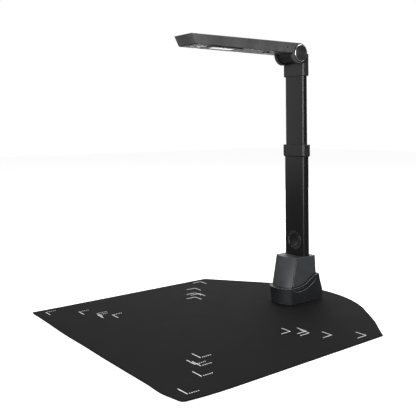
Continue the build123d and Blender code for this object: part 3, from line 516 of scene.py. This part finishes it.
# The collar's paint carries a painted highlight along its edges and a painted shade in its creases.
collar_plastic = finish("collar_plastic", (0.014, 0.014, 0.015), 0.4, grain=1300, relief=0.00004,
                        edge=0.0005, edge_highlight=0.45, highlight_tone=(0.2, 0.2, 0.2), crease_shade_reach=0.003)
dress(collar_plastic, "column_collar")
felt = finish("friction_felt", (0.03, 0.03, 0.03), 0.95, grain=1500, relief=0.0003)
dress(felt, "friction_ring")
nylon = finish("natural_nylon", (0.6, 0.6, 0.56), 0.5, grain=900, relief=0.00002, mottle=0.08)
dress(nylon, "guide_sleeve", "mast_shoe")


# ---- Capture key ----
# A round dished key of satin black plastic in a thin glossy ring, on the column's front face.
# The light key under the arm is of the same plastic.
# The keys' paint carries a faint painted highlight along their edges.
key_plastic = finish("key_plastic", (0.008, 0.008, 0.009), 0.3, grain=1400, relief=0.00003,
                     edge=0.0004, edge_highlight=0.2, highlight_tone=(0.2, 0.2, 0.2))
dress(key_plastic, "capture_key", "light_key")
# The ring's paint carries a strong painted highlight along its edges, in place of the light its rim
# catches.
key_ring = finish("key_ring", (0.012, 0.012, 0.013), 0.2, grain=1000, relief=0.00001, edge=0.0007,
                  edge_highlight=0.85, highlight_tone=(0.4, 0.4, 0.4))
dress(key_ring, "key_bezel")


# ---- Leads ----
# The signal lead is a round jacketed cable, clipped along its way through the base, mast and arm.
# Inside the column it is wound as a close helix.
jacket = finish("lead_jacket", (0.015, 0.015, 0.016), 0.55, grain=1600, relief=0.00003)
dress(jacket, "base_lead", "mast_lead", "arm_lead")
coil_low, coil_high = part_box("coiled_lead")
coil_wire = 0.0009
coil_radius = (coil_high.x - coil_low.x) / 2 - coil_wire
coil_pitch = 0.0026
coil_steps = 16
coil_sides = 8
coil_turns = round((coil_high.z - coil_low.z - 2 * coil_wire) / coil_pitch)


def helix():
    """A circle of the wire's radius carried along a helix: middle line (R cos a, R sin a, rising
    evenly)."""
    angle = np.linspace(0, 2 * math.pi * coil_turns, coil_steps * coil_turns + 1)[:, None]
    turn = np.linspace(0, 2 * math.pi, coil_sides + 1)[:-1]
    radius = coil_radius + coil_wire * np.cos(turn)
    rise = (coil_high.z - coil_low.z - 2 * coil_wire) * angle / angle[-1]
    z = coil_low.z + coil_wire + rise + coil_wire * np.sin(turn)
    centre = (coil_low + coil_high) / 2
    return np.stack([centre.x + radius * np.cos(angle), centre.y + radius * np.sin(angle), z], -1)


coil_piece = surface("lead_coil", [helix()], jacket, "stand", crease=60)
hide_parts("coiled_lead")
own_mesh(coil_piece)


# ---- Neck ----
# A moulded socket glued on the mast's top, with the hinge barrel between its shoulders
# and a small screwed cover behind.
# The neck's paint carries a painted highlight along its edges and a painted shade in its creases.
neck_plastic = finish("neck_plastic", (0.016, 0.016, 0.017), 0.4, grain=1300, relief=0.00005,
                      edge=0.0006, edge_highlight=0.5, highlight_tone=(0.2, 0.2, 0.2), crease_shade_reach=0.004)
dress(neck_plastic, "neck_housing", "neck_cover")


# ---- Scan arm ----
# An upper shell of black plastic with a fine moulded grain, and a paler lower cover screwed
# into it. The lens ring, the lamp and the light key sit in the cover.
# The shell's paint carries a painted highlight along its edges and a painted shade in its creases.
arm_plastic = finish("arm_plastic", (0.075, 0.075, 0.076), 0.62, grain=700, relief=0.0001,
                     mottle=0.45, edge=0.0006, edge_highlight=0.35, highlight_tone=(0.22, 0.22, 0.22),
                     crease_shade_reach=0.003, Specular_IOR_Level=0.3)
dress(arm_plastic, "arm_shell")
cover_plastic = finish("cover_plastic", (0.14, 0.14, 0.145), 0.42, grain=1300, relief=0.00004,
                       edge=0.0005)
dress(cover_plastic, "arm_cover")


# ---- Hinge ends ----
# A bright chromed ring pressed into each side of the hinge, with a dark disc inside it.
# The discs are turned meshes with shallow grooves, in place of the CAD caps.
chrome = finish("chromed_ring", (0.6, 0.61, 0.63), 0.34, grain=400, relief=0.000005, mottle=0.03,
                edge=0.0002, Metallic=1.0)
dress(chrome, "left_hinge_ring", "right_hinge_ring")
disc_hub = 0.02
disc_flat = 0.93
disc_soft = 0.07
disc_grooves = 4
disc_groove_depth = 0.00022
disc_groove_end = 0.88
disc_crown = 0.0005
disc_rim = 0.0006
disc_flat_points = 44
disc_soft_points = 7
disc_soft_start = 0.1
disc_points = 96


def turned_disc(node, side):
    """Disc turned about X: a profile of radius against depth with four shallow grooves, a soft
    rim and a low dome, carried once round the hinge's axis."""
    low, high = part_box(node)
    radius = (high.z - low.z) / 2
    bend = np.sin(np.linspace(disc_soft_start, math.pi / 2, disc_soft_points))
    share = np.concatenate([np.linspace(disc_hub, disc_flat, disc_flat_points),
                            disc_flat + disc_soft * bend])
    ripple = np.clip(np.cos(share * disc_grooves * 2 * math.pi), 0, 1) ** 2
    groove = disc_groove_depth * ripple * (share < disc_groove_end)
    crown = disc_crown * (1 - share ** 2)
    outer = np.clip(share - disc_flat, 0, 1) / disc_soft
    rim = disc_rim * (1 - np.sqrt(np.clip(1 - outer ** 2, 0, 1)))
    depth = high.x if side > 0 else -low.x
    face = depth - disc_crown + crown - groove - rim
    floor_x = low.x if side > 0 else -high.x
    share = np.append(share, [1.0, disc_hub])
    face = np.append(face, [floor_x, floor_x])
    turn = np.linspace(0, 2 * math.pi, disc_points + 1)[:-1]
    middle = (low + high) / 2
    x = side * face[:, None] + 0 * turn
    y = middle.y + radius * share[:, None] * np.cos(turn)
    z = middle.z + radius * share[:, None] * np.sin(turn)
    return np.stack([x, y, z], -1)


cap_plastic = finish("cap_plastic", (0.018, 0.018, 0.019), 0.38, grain=1500, relief=0.0001,
                     mottle=0.4)
for name, side in (("left", -1), ("right", 1)):
    skin = turned_disc(f"{name}_hinge_cap", side)
    disc = surface(f"{name}_hinge_disc", [skin], cap_plastic, "arm")
    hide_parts(f"{name}_hinge_cap")


# ---- Camera and lamp ----
# The camera looks down through a turned silver ring.
# The lamp is an opal window in a black frame, with two rows of chips behind it.
camera_black = finish("camera_black", (0.012, 0.012, 0.012), 0.5, grain=1500, relief=0.00003)
dress(camera_black, "camera_module")
silver = finish("silver_ring", (0.8, 0.8, 0.82), 0.4, grain=1800, relief=0.000004, mottle=0.06,
                edge=0.0002, Metallic=1.0)
dress(silver, "lens_ring")
lens_coating = finish("lens_coating", (0.01, 0.012, 0.03), 0.05, grain=300, relief=0.000002,
                      mottle=0.3, Coat_Weight=1.0, Coat_Roughness=0.03)
dress(lens_coating, "lens_glass")
frame_black = finish("frame_black", (0.004, 0.004, 0.004), 0.4, grain=1400, relief=0.00002,
                     edge=0.0003)
dress(frame_black, "led_frame")
opal = finish("opal_window", (0.92, 0.92, 0.9), 0.35, grain=1200, relief=0.00002, mottle=0.03,
              Emission_Color=(1, 1, 1, 1), Emission_Strength=0.7)
dress(opal, "led_diffuser")
chip_lens = finish("chip_lens", (0.85, 0.78, 0.35), 0.3, grain=1600, relief=0.00002, mottle=0.1)
dress(chip_lens, "led_chips")
